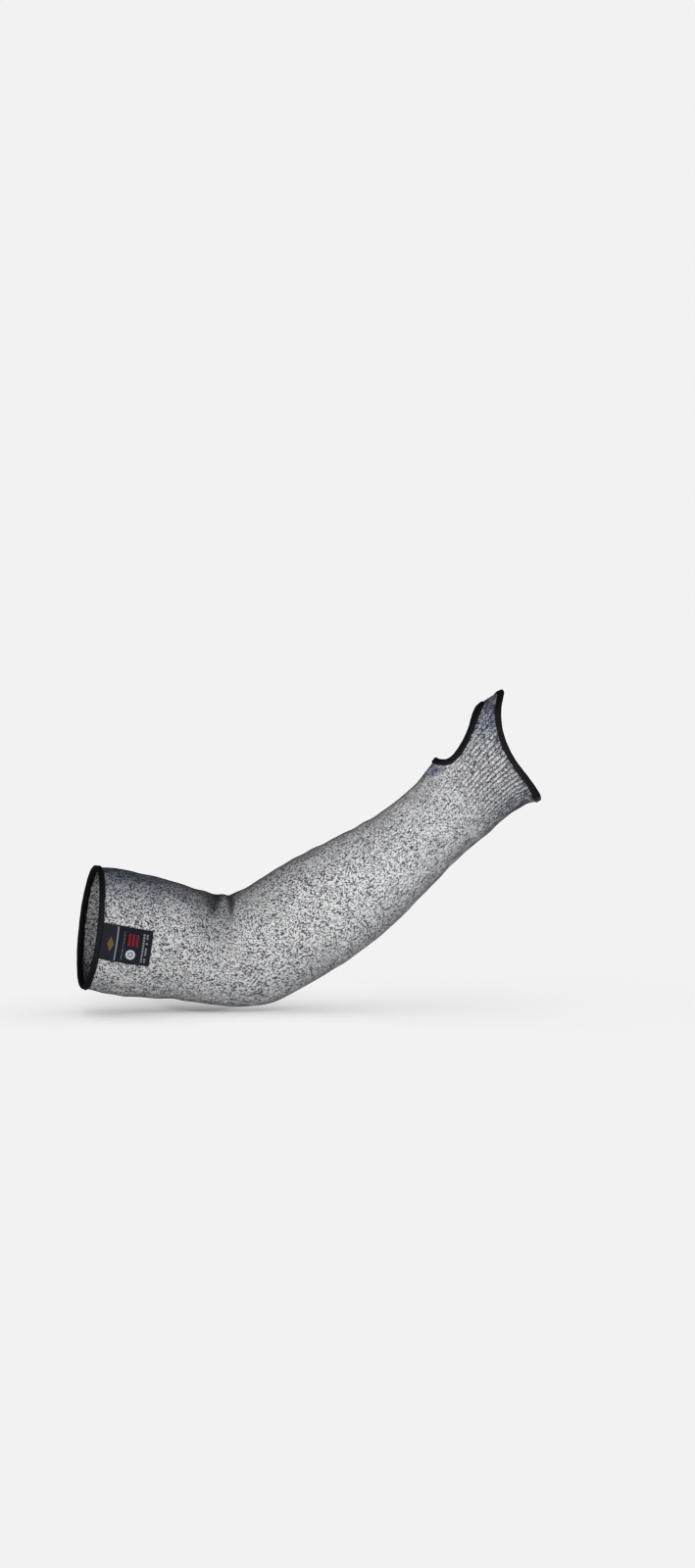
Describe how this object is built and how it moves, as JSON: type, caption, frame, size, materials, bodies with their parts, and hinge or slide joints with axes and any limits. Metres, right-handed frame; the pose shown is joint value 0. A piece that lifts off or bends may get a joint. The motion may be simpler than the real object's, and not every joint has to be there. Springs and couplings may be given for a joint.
{
  "type": "cut resistant sleeve",
  "caption": "Knitted cut resistant arm sleeve in grey melange with a thumb hole, black edge tapes and a sewn-in label, in the form that a bent arm gives it.",
  "frame": {"origin": "centre of the upper arm opening, where the upper arm goes in and holds the sleeve", "axes": "+X along the sleeve towards the hand, +Z towards the thumb side, the back of the hand faces -Y"},
  "size_m": [0.4192, 0.1024, 0.2832],
  "materials": {
    "knit": "matte knitted melange of white and black yarn",
    "edge_tape": "matte black elastic tape",
    "navy_label": "satin woven navy label",
    "charcoal_label": "satin woven charcoal label"
  },
  "bodies": {
    "root": {"knit_tube": "knit", "arm_opening_tape": "edge_tape", "hand_opening_tape": "edge_tape", "thumb_hole_tape": "edge_tape", "care_label": "navy_label", "tab_label": "charcoal_label"}
  },
  "joints": []
}
